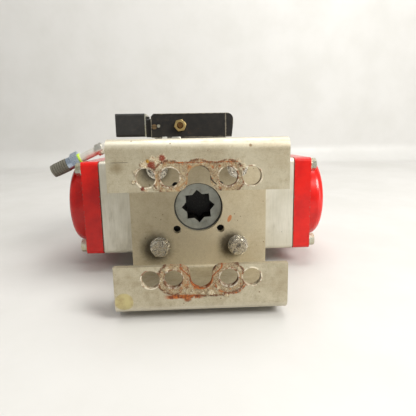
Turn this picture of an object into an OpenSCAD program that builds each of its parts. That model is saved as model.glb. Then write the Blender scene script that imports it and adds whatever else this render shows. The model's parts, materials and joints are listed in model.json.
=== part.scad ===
// Double-piston rack-and-pinion quarter-turn actuator with a bent-plate valve bracket and a solenoid valve.
// X runs along the cylinder, Y along the drive shaft away from the driven valve, Z up through the
// solenoid valve.
// The origin is on the drive-shaft axis, in the plane of the bracket's front lips.

/* [Mounting bracket] */
// Width of the bent strip along X
strip_w = 152.4; // [145:0.1:165]
// Height of the bracket across its two legs
bracket_h = 152.4; // [145:0.1:165]
// Depth from the lips' front face to the face bolted on the actuator
bracket_d = 109.4; // [90:0.1:130]
// Thickness of the bracket plate
plate_t = 6; // [4:0.5:8]
// Outer bend radius
bend_r = 10; // [8:0.5:14]
// Gap between the two front lips
slot_h = 65; // [55:0.5:70]
// Hole spacing of the outer lip holes, both ways
lip_hole_span = 88.6; // [84:0.1:92]
// Spacing along X of the inner lip holes
lip_inner_span = 48.8; // [44:0.1:52]
// Diameter of the lip holes
lip_hole_d = 16.2; // [14:0.1:18]
// Radius of the round end of each lip notch
notch_r = 9.5; // [8:0.5:10]
// Bolt circle of the large flange pattern
flange_pcd = 125; // [120:1:130]
// Bolt circle of the small flange pattern
small_pcd = 70; // [68:1:74]
// Diameter of the bracket's centre hole
web_hole_d = 55; // [54:0.5:56]

/* [Cylinder body and caps] */
// Length of the extruded body
body_len = 218; // [214:1:230]
// Depth of the body along the shaft axis
body_d = 125; // [122:1:135]
// Height of the body
body_h = 106; // [104:1:116]
// Bore of the cylinder
bore_d = 84; // [84:0.5:86]
// Thickness of the end cap flange
cap_t = 19; // [16:0.5:22]
// Radius of the round dome on each cap
dome_r = 50; // [48:0.5:52]
// How far the dome stands out of the flange
dome_out = 22; // [20:0.5:26]
// Wall thickness of the dome
dome_wall = 5; // [4:0.5:6]
// Thickness of the cap gasket
gasket_t = 1.2; // [1:0.1:2]

/* [Drive] */
// Gear module of rack and pinion
gear_m = 2; // [2:1:2]
// Number of pinion teeth
pinion_teeth = 24; // [24:1:24]
// Width across flats of the star drive
star_af = 27; // [24:0.5:28]
// Depth of the star drive
star_depth = 32; // [28:1:36]
// Turn of the star and of the shaft top from square, in degrees
star_turn = 4; // [0:0.5:8]

/* [Solenoid valve] */
// Height of the interface block
block_h = 24; // [23:0.5:26]
// Height of the valve body
valve_h = 28.4; // [28:0.1:32]
// Length of the valve body
valve_len = 90; // [88:1:94]
// Width of the valve body along the shaft axis
valve_w = 40; // [38:1:44]
// Outer diameter of the exhaust pipe
pipe_d = 10; // [8:0.5:10]
// Downward slope of the silencer in degrees
pipe_drop = 24; // [20:1:26]

/* [Hidden] */
$fn = 64;
eps = 0.01;            // overlap between pieces of one solid
gap = 0.1;             // assembly gap between neighbouring pieces of one body
run = 0.05;            // radial running clearance

// Body frame
body_y0 = bracket_d;
body_y1 = bracket_d + body_d;
yc = bracket_d + body_d / 2;
body_x = body_len / 2;
body_z = body_h / 2;
bore_r = bore_d / 2;
body_round = 5;
cap_x0 = body_x + gasket_t;
cap_x1 = cap_x0 + cap_t;
dome_x1 = cap_x1 + dome_out;
dome_fillet = 10;
cavity_r = dome_r - dome_wall;
cavity_x1 = dome_x1 - dome_wall;

// Cap screws, M8
screw_y = 53;
screw_z = 44.5;
m8_r = 4;
m8_head_af = 13;
m8_head_h = 5.5;
cap_washer_t = 1.6;
cap_washer_r = 7.5;
cap_screw_depth = 22;

// Air channel beside the bore, from the right port to both end chambers
channel_y = yc + 9;
channel_z = 47.5;
channel_r = 2.5;

// Bracket bolts, M12
m12_r = 6;
m12_head_af = 18;
m12_head_h = 7.6;
m12_washer_r = 11.5;
m12_washer_t = 2.4;
m12_depth = 16;
small_hole_r = 4.5;
small_tap_depth = 12;

// Shaft, from the drive end (negative) to the top (positive), measured from the body's middle
journal_r = 26;
upper_r = 20;
top_r = 14;
shaft_bottom = -60.5;
rack_half_w = 12.5;
tooth_half_w = 14;
cam_from = 16.2;
cam_to = 24.8;
cam_r = 28;
cam_flat = 20;
oct_r = 22;
shaft_shoulder = 67.5;
shaft_top = body_d / 2 + 30;
bearing_len = 10;
lower_bearing_r = 28.5;
upper_bearing_r = 22.5;
seal_y_low = -46;
seal_y_high = 47;
seal_r = 1.4;
seal_groove = 3.2;

// Rack and pinion geometry
pitch_r = gear_m * pinion_teeth / 2;
tip_r = pitch_r + gear_m - 0.1;
root_r = pitch_r - 1.25 * gear_m;
base_r = pitch_r * cos(20);
tooth_pitch = PI * gear_m;
backlash = 0.16;
stroke = pitch_r * PI / 2;

// Pistons at rest, pushed in to the middle
crown_in = 46;
crown_t = 20;
crown_out = crown_in + crown_t;
crown_r = bore_r - 0.5;
rack_end = -stroke - 5.8;
seat_depth = 6;
seat_r = 37;
arm_r = bore_r - 1.4;
rack_root_z = pitch_r + 1.25 * gear_m;
teeth_to = 12;

// Return springs
spring_r = 30;
spring_wire = 2.5;
spring_turns = 7;
spring_x0 = crown_out - seat_depth + spring_wire + 0.3;
spring_x1 = cavity_x1 - spring_wire - gap;

// Travel stops
stop_x = 14;
stop_y = yc + (cam_from + cam_to) / 2;
stop_gap = 0.15;
stop_end = -69;

// Valve stack on the top face
block_z0 = body_z + 0.8;
block_z1 = block_z0 + block_h;
valve_z0 = block_z1 + 0.4;
valve_z1 = valve_z0 + valve_h;
valve_x1 = 36;
valve_x0 = valve_x1 - valve_len;
block_x0 = -50;
block_w = 44;
port_x = 12;
body_port_r = 4;
block_screw_y = 16;
valve_screw_x = [-35, 30];
valve_screw_y = 14.5;
spool_z = valve_z0 + 14;
spool_r = 5;
spool_x0 = valve_x0 + 11;
spool_len = 62;
land_w = 3;
exhaust_groove = [-27, -18];
outlet_groove = [-15, -7];
supply_groove = [-4, 6];
groove_r = 6.4;
spool_stem_r = 3;
supply_x = 0;
supply_r = 6.58;
supply_depth = 11;
end_cap_len = 9;
end_cap_round = 8;
neck_x0 = valve_x0 - 6.5;
frame_t = 1.5;
coil_x1 = neck_x0 - frame_t - 0.2;
coil_x0 = coil_x1 - 35;
coil_w = 30;
coil_z0 = valve_z0 + 1.8;
coil_z1 = valve_z1 + 1;
tube_r = 6.9;
armature_r = 4.4;
connector_y0 = yc + coil_w / 2 + 0.2;
connector_len = 28;
connector_y1 = connector_y0 + connector_len;
connector_x = (coil_x0 + coil_x1) / 2;
plug_screw_r = 1.5;
plug_screw_z = coil_z1 - 6;
gland_r = 6;
gland_z = coil_z0 + 10;
gland_in = 8;
gland_out = 12;
cable_r = 3.25;
override_x = -50;
override_z = valve_z0 + 13;
override_r = 3;
breather_x = -18.8;
breather_z = spool_z;
valve_front = yc - valve_w / 2;

// Exhaust line in front of the block
line_y = yc - 32;
line_z = 70.5;
elbow_x = -24;
bend_x = -104;
pipe_bend_r = 26;
pipe_r = pipe_d / 2;
bend_leg = pipe_bend_r * tan(pipe_drop / 2);
bend_lap = 0.6;
bend_step = 0.04;
pipe_wall = 1.2;
coupling_s = 7;
ring_s = 35;
silencer_nut_len = 15;
silencer_len = 20;

// ---- helpers ----

module along_y(from, to) translate([0, to, 0]) rotate([90, 0, 0]) linear_extrude(to - from) children();
module along_x(from, to) translate([from, 0, 0]) rotate([90, 0, 90]) linear_extrude(to - from) children();
module rod_y(r, from, to, x = 0, z = 0)
    translate([x, from, z]) rotate([-90, 0, 0]) cylinder(r = r, h = to - from);
module rod_x(r, from, to, y = 0, z = 0)
    translate([from, y, z]) rotate([0, 90, 0]) cylinder(r = r, h = to - from);
module rod_z(r, from, to, x = 0, y = 0) translate([x, y, from]) cylinder(r = r, h = to - from);
module block(from, to) translate(from) cube(to - from);

module rounded(x0, y0, x1, y1, r) {
    translate([x0 + r, y0]) square([x1 - x0 - 2 * r, y1 - y0]);
    translate([x0, y0 + r]) square([x1 - x0, y1 - y0 - 2 * r]);
    for (x = [x0 + r, x1 - r], y = [y0 + r, y1 - r]) translate([x, y]) circle(r);
}

// A hexagon of the given width across flats
module hexagon(af) circle(r = af / sqrt(3), $fn = 6);

// A hexagonal head with its corners turned off on one side
module hex_head(af, h, bevel = 0.8) intersection() {
    linear_extrude(h) hexagon(af);
    rotate_extrude() polygon([[0, 0], [af, 0], [af, h - bevel - af * 0.12], [af / 2 * 0.97, h], [0, h]]);
}

// A ring about the Z axis with a rectangular section
module ring(r_in, r_out, h) difference() {
    cylinder(r = r_out, h = h);
    translate([0, 0, -1]) cylinder(r = r_in, h = h + 2);
}

module ring_y(r_in, r_out, from, to) translate([0, from, 0]) rotate([-90, 0, 0]) ring(r_in, r_out, to - from);
module ring_x(r_in, r_out, from, to) translate([from, yc, 0]) rotate([0, 90, 0]) ring(r_in, r_out, to - from);

// The four corners of a square pattern on a bolt circle, in the XZ plane
function pattern(pcd) = [for (i = [0:3]) [pcd / 2 * cos(45 + 90 * i), pcd / 2 * sin(45 + 90 * i)]];

// Rings of points along a helix about the X axis, and a closed tube through them
function helix_ring(t, r, wire, x0, x1, sides) = let (
        a = 360 * t[1],
        c = [x0 + (x1 - x0) * t[0], r * cos(a), r * sin(a)],
        out = [0, cos(a), sin(a)])
    [for (k = [0:sides - 1]) c + out * wire * cos(360 * k / sides) + [1, 0, 0] * wire * sin(360 * k / sides)];

module tube_through(rings, sides) {
    n = len(rings);
    points = [for (r = rings, p = r) p];
    walls = [for (i = [0:n - 2], k = [0:sides - 1]) let (k2 = (k + 1) % sides)
        [i * sides + k, (i + 1) * sides + k, (i + 1) * sides + k2, i * sides + k2]];
    start = [for (k = [0:sides - 1]) k];
    end = [for (k = [sides - 1:-1:0]) (n - 1) * sides + k];
    polyhedron(points, concat(walls, [start, end]), convexity = 8);
}

// A compression spring about the X axis; its end turns lie closer together
module coil_spring(r, wire, turns, x0, x1, steps = 14, sides = 8) {
    n = turns * steps;
    function place(u) = u < 1 / turns ? u * 0.5 : u > 1 - 1 / turns ? 1 - (1 - u) * 0.5
        : 0.5 / turns + (u - 1 / turns) * (1 - 1 / turns) / (1 - 2 / turns);
    tube_through([for (i = [0:n]) helix_ring([place(i / n), turns * i / n], r, wire, x0, x1, sides)], sides);
}

// ---- bracket and its bolts ----

module mounting_bracket() color([0.69, 0.65, 0.57]) difference() {
    along_x(-strip_w / 2, strip_w / 2) difference() {
        rounded(0, -bracket_h / 2, bracket_d, bracket_h / 2, bend_r);
        rounded(plate_t, plate_t - bracket_h / 2, bracket_d - plate_t, bracket_h / 2 - plate_t,
            bend_r - plate_t);
        translate([-1, -slot_h / 2]) square([plate_t + 2, slot_h]);
    }
    for (sz = [-1, 1]) {
        for (x = [lip_hole_span, lip_inner_span], sx = [-1, 1])
            rod_y(lip_hole_d / 2, -1, plate_t + 1, sx * x / 2, sz * lip_hole_span / 2);
        along_y(-1, plate_t + 1) mirror([0, sz < 0 ? 1 : 0]) lip_notch();
    }
    rod_y(web_hole_d / 2, bracket_d - plate_t - 1, bracket_d + 1);
    for (p = pattern(flange_pcd)) rod_y(m12_r + 0.5, bracket_d - plate_t - 1, bracket_d + 1, p[0], p[1]);
    for (p = pattern(small_pcd)) rod_y(small_hole_r, bracket_d - plate_t - 1, bracket_d + 1, p[0], p[1]);
}

// The arch cut into the upper lip: a round end that flares out to the slot
module lip_notch() {
    edge = slot_h / 2;
    centre = edge + 11.5;
    flare = 9;
    translate([0, centre]) circle(notch_r);
    translate([-notch_r, edge - 2]) square([2 * notch_r, centre - edge + 2]);
    difference() {
        translate([-notch_r - flare, edge - 2]) square([2 * (notch_r + flare), flare + 2]);
        for (s = [-1, 1]) translate([s * (notch_r + flare), edge + flare]) circle(flare);
    }
}

module bracket_bolts() color([0.62, 0.6, 0.55]) for (p = pattern(flange_pcd)) {
    face = bracket_d - plate_t - m12_washer_t - 0.1;
    rod_y(m12_r, face - eps, body_y0 + m12_depth, p[0], p[1]);
    translate([p[0], face, p[1]]) rotate([90, 0, 0]) hex_head(m12_head_af, m12_head_h);
}

module bracket_washers() color([0.66, 0.64, 0.6]) for (p = pattern(flange_pcd))
    translate([p[0], 0, p[1]])
        ring_y(m12_r + 0.4, m12_washer_r, bracket_d - plate_t - m12_washer_t - 0.05,
            bracket_d - plate_t - 0.02);

// ---- body, caps and their fasteners ----

module cylinder_body() color([0.75, 0.745, 0.7]) difference() {
    along_x(-body_x, body_x) rounded(body_y0, -body_z, body_y1, body_z, body_round);
    rod_x(bore_r, -body_x - 1, body_x + 1, yc);
    // Drive side: bearing seat, seal bore and the two bolt patterns
    rod_y(lower_bearing_r, body_y0 - 1, yc - 50);
    rod_y(journal_r + 0.15, yc - 51, yc);
    for (p = pattern(flange_pcd)) rod_y(m12_r + run, body_y0 - 1, body_y0 + m12_depth + 1, p[0], p[1]);
    for (p = pattern(small_pcd)) rod_y(m8_r, body_y0 - 1, body_y0 + small_tap_depth, p[0], p[1]);
    // Top side: bearing seat, seal bore and the accessory pattern
    rod_y(upper_bearing_r, yc + 52, body_y1 + 1);
    rod_y(upper_r + 0.15, yc, yc + 53);
    for (x = [-40, 40], z = [-15, 15]) rod_y(2.5, body_y1 - 8, body_y1 + 1, x, z);
    // Valve side: fixing holes, the left port into the middle of the bore and past the rack, and the
    // right port into the channel to the end chambers
    for (s = [-1, 1], t = [-1, 1])
        rod_z(2.5 + run, body_z - 10, body_z + 1, s * port_x, yc + t * block_screw_y);
    rod_z(body_port_r, bore_r - 2, body_z + 1, -port_x, yc);
    rod_y(3, yc - 20, yc, -port_x, bore_r - 0.5);
    rod_z(body_port_r, channel_z - 1, body_z + 1, port_x, yc);
    rod_y(2, yc, channel_y, port_x, channel_z);
    rod_x(channel_r, -body_x - 1, body_x + 1, channel_y, channel_z);
    for (s = [-1, 1]) rod_z(m8_r + run, -body_z - 1, -25, s * stop_x, stop_y);
    for (s = [-1, 1], y = [-1, 1], z = [-1, 1])
        rod_x(m8_r + run, s > 0 ? body_x - cap_screw_depth - 1 : -body_x - 1,
            s > 0 ? body_x + 1 : cap_screw_depth + 1 - body_x, yc + y * screw_y, z * screw_z);
}

// The right cap; the left one is its mirror image
module end_cap() difference() {
    union() {
        along_x(cap_x0, cap_x1) rounded(body_y0, -body_z, body_y1, body_z, body_round);
        translate([0, yc, 0]) rotate([0, 90, 0]) rotate_extrude() dome_section(dome_r, dome_x1, dome_fillet);
    }
    translate([0, yc, 0]) rotate([0, 90, 0]) rotate_extrude()
        dome_section(cavity_r, cavity_x1, dome_fillet - 3, cap_x0 - 1);
    for (y = [-1, 1], z = [-1, 1]) rod_x(m8_r + 0.3, cap_x0 - 1, cap_x1 + 1, yc + y * screw_y, z * screw_z);
    // Air channel from the body into the spring chamber
    block([cap_x0 - 1, channel_y - channel_r, cavity_r - 8],
        [cap_x0 + 4, channel_y + channel_r, channel_z + channel_r]);
}

// Half section of a round-edged dome, drawn with its radius along X and the cap's X along Y
module dome_section(r, top, fillet, from = cap_x0 + eps) {
    translate([0, from]) square([r, top - fillet - from]);
    translate([0, from]) square([r - fillet, top - from]);
    intersection() {
        translate([r - fillet, top - fillet]) circle(fillet);
        translate([0, from]) square([r, top - from]);
    }
}

module cap_gasket() difference() {
    along_x(body_x + 0.02, cap_x0 - 0.02)
        rounded(body_y0 + 1, 1 - body_z, body_y1 - 1, body_z - 1, body_round - 1);
    rod_x(bore_r + 0.5, body_x - 1, cap_x0 + 1, yc);
    block([body_x - 1, channel_y - 3, 0], [cap_x0 + 1, channel_y + 3, channel_z + 3]);
    for (y = [-1, 1], z = [-1, 1]) rod_x(m8_r + 0.3, body_x - 1, cap_x0 + 1, yc + y * screw_y, z * screw_z);
}

module cap_screws() for (y = [-1, 1], z = [-1, 1]) translate([0, yc + y * screw_y, z * screw_z]) {
    rod_x(m8_r, body_x - cap_screw_depth, cap_x1 + cap_washer_t + 0.1 + eps);
    translate([cap_x1 + cap_washer_t + 0.1, 0, 0]) rotate([0, 90, 0]) hex_head(m8_head_af, m8_head_h);
}

module cap_screw_washers() color([0.7, 0.7, 0.68])
    for (s = [0, 1]) mirror([s, 0, 0]) for (y = [-1, 1], z = [-1, 1])
        translate([cap_x1 + 0.02, yc + y * screw_y, z * screw_z]) rotate([0, 90, 0])
            ring(m8_r + 0.3, cap_washer_r, cap_washer_t);

module left_end_cap() color([0.72, 0.06, 0.05]) mirror([1, 0, 0]) end_cap();
module right_end_cap() color([0.72, 0.06, 0.05]) end_cap();
module left_cap_gasket() color([0.1, 0.1, 0.1]) mirror([1, 0, 0]) cap_gasket();
module right_cap_gasket() color([0.1, 0.1, 0.1]) cap_gasket();
module left_cap_screws() color([0.72, 0.71, 0.68]) mirror([1, 0, 0]) cap_screws();
module right_cap_screws() color([0.72, 0.71, 0.68]) cap_screws();

module lower_shaft_bearing() color([0.22, 0.22, 0.22])
    ring_y(journal_r + run, lower_bearing_r - run, yc - bearing_len - 50.3, yc - 50.1);
module upper_shaft_bearing() color([0.22, 0.22, 0.22])
    ring_y(upper_r + run, upper_bearing_r - run, yc + 52.1, yc + bearing_len + 52.2);

module travel_stop_screws() color([0.66, 0.66, 0.64]) for (s = [-1, 1]) translate([s * stop_x, stop_y, 0]) {
    rod_z(m8_r, stop_end + m8_head_h - eps, -cam_flat - stop_gap);
    translate([0, 0, stop_end + m8_head_h]) mirror([0, 0, 1]) hex_head(m8_head_af, m8_head_h);
}

module stop_lock_nuts() color([0.7, 0.69, 0.64]) for (s = [-1, 1])
    translate([s * stop_x, stop_y, -body_z - gap - 6.5]) difference() {
        hex_head(m8_head_af, 6.5);
        translate([0, 0, -1]) cylinder(r = m8_r + run, h = 9);
    }

// ---- pinion and what turns with it ----

function involute_point(r, start, side) = let (
        roll = sqrt(max(0, pow(r / base_r, 2) - 1)),
        turn = roll * 180 / PI - atan(roll))
    [r * cos(start + side * turn), r * sin(start + side * turn)];

// Half the angle of a tooth at the base circle, thinned by the backlash
tooth_half = 90 / pinion_teeth + (tan(20) * 180 / PI - 20) - backlash / 2 / pitch_r * 180 / PI;

module pinion_section() polygon([for (i = [0:pinion_teeth - 1]) let (a = 360 * i / pinion_teeth)
    each concat(
        [[root_r * cos(a - tooth_half), root_r * sin(a - tooth_half)]],
        [for (k = [0:5]) involute_point(base_r + (tip_r - base_r) * k / 5, a - tooth_half, 1)],
        [for (k = [5:-1:0]) involute_point(base_r + (tip_r - base_r) * k / 5, a + tooth_half, -1)],
        [[root_r * cos(a + tooth_half), root_r * sin(a + tooth_half)]])]);

module pinion_shaft() color([0.55, 0.55, 0.53]) translate([0, yc, 0]) difference() {
    union() {
        rod_y(journal_r, shaft_bottom, -tooth_half_w);
        along_y(-tooth_half_w - eps, tooth_half_w) pinion_section();
        rod_y(root_r - 0.1, tooth_half_w - eps, cam_from);
        along_y(cam_from - 0.2, cam_to + 0.1) rotate(22.5) circle(oct_r, $fn = 8);
        rod_y(upper_r, cam_to, shaft_shoulder);
        rod_y(top_r, shaft_shoulder - eps, shaft_top);
    }
    // Double-square star drive for the valve stem
    rotate([0, -star_turn, 0]) along_y(shaft_bottom - 1, shaft_bottom + star_depth)
        for (a = [0, 45]) rotate(a) square(star_af, center = true);
    // Seal and circlip grooves
    for (y = [seal_y_low, seal_y_high]) ring_y((y < 0 ? journal_r : upper_r) - 2 * seal_r - run,
        journal_r + 5, y - seal_groove / 2, y + seal_groove / 2);
    ring_y(upper_r - 1.6, journal_r, 64.6, 66.2);
    // Accessory slot and screw hole in the top
    rotate([0, -star_turn, 0]) block([-20, shaft_top - 4, -2], [20, shaft_top + 1, 2]);
    rod_y(3 + run, shaft_top - 14, shaft_top + 1);
    rod_y(star_af / sqrt(2) + 0.5, shaft_bottom - 1, shaft_bottom + 1);
}

module stop_cam() color([0.5, 0.5, 0.5]) translate([0, yc, 0]) along_y(cam_from, cam_to) difference() {
    intersection() {
        circle(cam_r);
        union() {
            circle(cam_flat);
            translate([-cam_r, 0]) square([cam_r + cam_flat, cam_r]);
            translate([-cam_r, -cam_flat]) square([cam_r, cam_r]);
        }
    }
    rotate(22.5) circle(oct_r + 0.15, $fn = 8);
}

module shaft_seals() color([0.08, 0.08, 0.08]) translate([0, yc, 0]) {
    for (seal = [[seal_y_low, journal_r], [seal_y_high, upper_r]])
        translate([0, seal[0], 0]) rotate([90, 0, 0])
            rotate_extrude() translate([seal[1] - seal_r, 0]) circle(seal_r);
}

module thrust_washer() color([0.85, 0.83, 0.75]) translate([0, yc, 0]) ring_y(upper_r + 0.2, 26, 62.8, 64.3);

module shaft_circlip() color([0.4, 0.4, 0.42]) translate([0, yc, 0]) difference() {
    union() {
        ring_y(upper_r - 1.5, upper_r + 3, 64.7, 66.1);
        for (s = [-1, 1]) rod_y(2.6, 64.7, 66.1, s * 5.5, upper_r + 2.6);
    }
    block([-2.5, 60, 0], [2.5, 70, 40]);
    for (s = [-1, 1]) rod_y(1.1, 60, 70, s * 5.5, upper_r + 2.8);
}

// Round indicator cup over the shaft's top, with a finger-grip rim
indicator_y0 = 67.9;
indicator_y1 = shaft_top + 3.5;
module position_indicator() color([0.09, 0.09, 0.1])
    translate([0, yc, 0]) rotate([0, -star_turn, 0]) difference() {
    union() {
        rod_y(27, indicator_y0, indicator_y0 + 7);
        rod_y(19, indicator_y0 + 7 - eps, indicator_y1);
    }
    rod_y(top_r + run, indicator_y0 - 1, shaft_top + 0.2);
    rod_y(3.3, shaft_top, indicator_y1 + 1);
    for (a = [15:30:345])
        rod_y(1.6, indicator_y0 + 7, indicator_y1 + 1, 19.6 * cos(a), 19.6 * sin(a));
    for (a = [0, 180]) rotate([0, a, 0]) block([20.2, indicator_y0 + 4.9, -4.6], [28, indicator_y0 + 8, 4.6]);
}

module indicator_pointer() color([0.9, 0.75, 0.1])
    translate([0, yc, 0]) rotate([0, -star_turn, 0]) intersection() {
    for (a = [0, 180]) rotate([0, a, 0]) block([20.3, indicator_y0 + 5, -4.5], [27, indicator_y0 + 9, 4.5]);
    rod_y(26.8, indicator_y0, indicator_y0 + 12);
}

module indicator_screw() color([0.7, 0.7, 0.7]) translate([0, yc, 0]) difference() {
    union() {
        rod_y(3, shaft_top - 12, indicator_y1 + 0.1);
        rod_y(5.5, indicator_y1 + 0.05, indicator_y1 + 3.5);
    }
    block([-6, indicator_y1 + 2.3, -0.7], [6, indicator_y1 + 5, 0.7]);
}

// ---- pistons ----

// The rack's toothed edge over its length, as an outline in XZ; a gap is centred on x = 0 at rest
module rack_section(from, to) {
    half = tooth_pitch / 4 - backlash / 4;
    slope = tan(20) * gear_m;
    first = ceil(from / tooth_pitch - 0.5);
    last = floor(to / tooth_pitch - 0.5);
    for (k = [first:last]) translate([(k + 0.5) * tooth_pitch, 0])
        polygon([[-half - 1.25 * slope, rack_root_z + 0.5], [-half + slope, pitch_r - gear_m],
            [half - slope, pitch_r - gear_m], [half + 1.25 * slope, rack_root_z + 0.5]]);
}

// The right piston, with its rack above the pinion; the left one is turned half a turn about the shaft
module piston() difference() {
    union() {
        rod_x(crown_r, crown_in, crown_out, yc);
        along_x(rack_end, crown_in + 1) intersection() {
            translate([yc, 0]) circle(arm_r);
            translate([yc - rack_half_w, rack_root_z]) square([2 * rack_half_w, bore_r]);
        }
        along_y(yc - rack_half_w, yc + rack_half_w) rack_section(rack_end, teeth_to);
    }
    ring_x(crown_r - 3.3, bore_r + 1, crown_in + 12, crown_in + 16);
    ring_x(crown_r - 1.6, bore_r + 1, crown_in + 2, crown_in + 10);
    translate([0, yc, 0]) rotate([0, 90, 0]) translate([0, 0, crown_out - seat_depth])
        ring(22, seat_r, seat_depth + 1);
}

module piston_seal() translate([crown_in + 14, yc, 0]) rotate([0, 90, 0]) rotate_extrude()
    translate([crown_r - 3.3 + 1.82, 0]) circle(1.78);

// Guide band round the crown and wear pad along the back of the rack
module guides() {
    ring_x(crown_r - 1.55, bore_r - run, crown_in + 2.1, crown_in + 9.9);
    intersection() {
        ring_x(arm_r + 0.03, bore_r - run, rack_end + 6, crown_in - 12);
        block([rack_end, yc - 9, 0], [crown_in, yc + 9, bore_r]);
    }
}

module left_side() mirror([1, 0, 0]) mirror([0, 0, 1]) children();

module left_piston() color([0.7, 0.7, 0.68]) left_side() piston();
module right_piston() color([0.7, 0.7, 0.68]) piston();
module left_piston_seal() color([0.07, 0.07, 0.07]) left_side() piston_seal();
module right_piston_seal() color([0.07, 0.07, 0.07]) piston_seal();
module left_guides() color([0.88, 0.86, 0.8]) left_side() guides();
module right_guides() color([0.88, 0.86, 0.8]) guides();

module return_spring() translate([0, yc, 0])
    coil_spring(spring_r, spring_wire, spring_turns, spring_x0, spring_x1);
module left_return_spring() color([0.35, 0.36, 0.38]) left_side() return_spring();
module right_return_spring() color([0.35, 0.36, 0.38]) return_spring();

// ---- solenoid valve ----

module interface_block() color([0.14, 0.14, 0.14]) difference() {
    along_x(block_x0, valve_x1) rounded(yc - block_w / 2, block_z0, yc + block_w / 2, block_z1, 2);
    for (s = [-1, 1]) {
        rod_z(3.5, block_z0 - 1, s < 0 ? block_z1 + 1 : line_z, s * port_x, yc);
        rod_z(7, block_z0 - 1, block_z0 + 1.6, s * port_x, yc);
        for (t = [-1, 1]) {
            rod_z(2.7, block_z0 - 1, block_z1 + 1, s * port_x, yc + t * block_screw_y);
            rod_z(4.6, block_z1 - 6, block_z1 + 1, s * port_x, yc + t * block_screw_y);
        }
    }
    for (x = valve_screw_x, t = [-1, 1])
        rod_z(2 + run, block_z1 - 12, block_z1 + 1, x, yc + t * valve_screw_y);
    rod_y(6.5, yc - block_w / 2 - 1, yc - block_w / 2 + 9, elbow_x, line_z);
    // Exhaust: up to the valve, out to the elbow and across to the right port
    rod_y(3, yc - block_w / 2, yc, elbow_x, line_z);
    rod_z(3, line_z, block_z1 + 1, elbow_x, yc);
    rod_x(2.5, elbow_x, port_x, yc - 8, line_z);
    rod_y(2.5, yc - 8, yc, port_x, line_z);
}

module interface_seals() color([0.07, 0.07, 0.07]) for (s = [-1, 1])
    translate([s * port_x, yc, body_z + 1.22]) rotate_extrude() translate([5.6, 0]) circle(1.15);

module block_screws() color([0.3, 0.3, 0.3]) for (s = [-1, 1], t = [-1, 1])
    translate([s * port_x, yc + t * block_screw_y, 0]) difference() {
        union() {
            rod_z(2.5, body_z - 9, block_z1 - 5.9);
            rod_z(4.3, block_z1 - 5.9 - eps, block_z1 - 0.9);
        }
        translate([0, 0, block_z1 - 3.5]) linear_extrude(4) hexagon(4);
    }

module valve_gasket() color([0.1, 0.1, 0.1]) difference() {
    block([block_x0 + 1, yc - valve_w / 2 + 1, block_z1 + 0.02],
        [valve_x1 - 1, yc + valve_w / 2 - 1, valve_z0 - 0.02]);
    for (x = [-port_x, elbow_x]) rod_z(3.5, block_z0, valve_z1, x, yc);
    for (x = valve_screw_x, t = [-1, 1]) rod_z(2.3, block_z0, valve_z1, x, yc + t * valve_screw_y);
}

module valve_body() color([0.13, 0.13, 0.13]) difference() {
    along_y(valve_front, yc + valve_w / 2) polygon([[valve_x0, valve_z0], [valve_x1, valve_z0],
        [valve_x1, valve_z1], [valve_x0 + 3.5, valve_z1], [valve_x0, valve_z1 - 3.5]]);
    // Spool bore with its three grooves, supply port and the channels down to the block
    rod_x(spool_r + run, spool_x0 - 1, valve_x1 + 1, yc, spool_z);
    for (g = [exhaust_groove, outlet_groove, supply_groove]) rod_x(groove_r, g[0], g[1], yc, spool_z);
    rod_x(2, valve_x0 - 1, spool_x0, yc, spool_z);
    for (x = [-port_x, elbow_x]) rod_z(3, valve_z0 - 1, spool_z, x, yc);
    rod_y(supply_r, yc + valve_w / 2 - supply_depth, yc + valve_w / 2 + 1, supply_x, spool_z);
    rod_y(3, yc, yc + valve_w / 2, supply_x, spool_z);
    rod_y(4.9, valve_front - 1, valve_front + 7, breather_x, breather_z);
    rod_y(0.7, valve_front, yc, breather_x, breather_z);
    rod_y(override_r + run, valve_front - 1, valve_front + 7, override_x, override_z);
    rod_y(1.25, valve_front - 1, valve_front + 3, override_x + 5.2, override_z + 0.8);
    for (x = valve_screw_x, t = [-1, 1]) {
        rod_z(2.2, valve_z0 - 1, valve_z1 + 1, x, yc + t * valve_screw_y);
        rod_z(4, valve_z1 - 4.5, valve_z1 + 1, x, yc + t * valve_screw_y);
    }
}

module valve_end_cap() color([0.13, 0.13, 0.13]) difference() {
    x0 = valve_x1 + 0.25;
    x1 = x0 + end_cap_len;
    along_y(valve_front, yc + valve_w / 2) intersection() {
        union() {
            translate([x0, valve_z0]) square([end_cap_len, valve_h - end_cap_round]);
            translate([x0, valve_z0]) square([end_cap_len - end_cap_round, valve_h]);
            translate([x1 - end_cap_round, valve_z1 - end_cap_round]) circle(end_cap_round);
        }
        polygon([[x0, valve_z0], [x1 - 2, valve_z0], [x1, valve_z1 - 12], [x1, valve_z1], [x0, valve_z1]]);
    }
    rod_x(3.6, x0 - 1, x0 + 6, yc, spool_z);
}

module valve_screws() color([0.35, 0.35, 0.35]) for (x = valve_screw_x, t = [-1, 1])
    translate([x, yc + t * valve_screw_y, 0]) difference() {
        union() {
            rod_z(2, block_z1 - 11, valve_z1 - 4.4);
            rod_z(3.7, valve_z1 - 4.4 - eps, valve_z1 - 0.5);
        }
        translate([0, 0, valve_z1 - 2.8]) linear_extrude(4) hexagon(3);
    }

// The spool at rest, pushed left by its spring: the outlet is open to the exhaust and the supply is shut off
module valve_spool() color([0.75, 0.75, 0.72]) translate([0, yc, spool_z]) {
    rod_x(spool_stem_r, spool_x0, spool_x0 + spool_len);
    rod_x(spool_r, spool_x0, exhaust_groove[0] - 5);
    for (x = [exhaust_groove[1] - land_w, outlet_groove[1]]) rod_x(spool_r, x, x + land_w);
    rod_x(spool_r, supply_groove[1] + land_w, spool_x0 + spool_len);
}

module spool_spring() color([0.6, 0.6, 0.62]) translate([0, yc, spool_z])
    coil_spring(3, 0.45, 6, spool_x0 + spool_len + 0.6, valve_x1 + 5.5, 10, 6);

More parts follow.
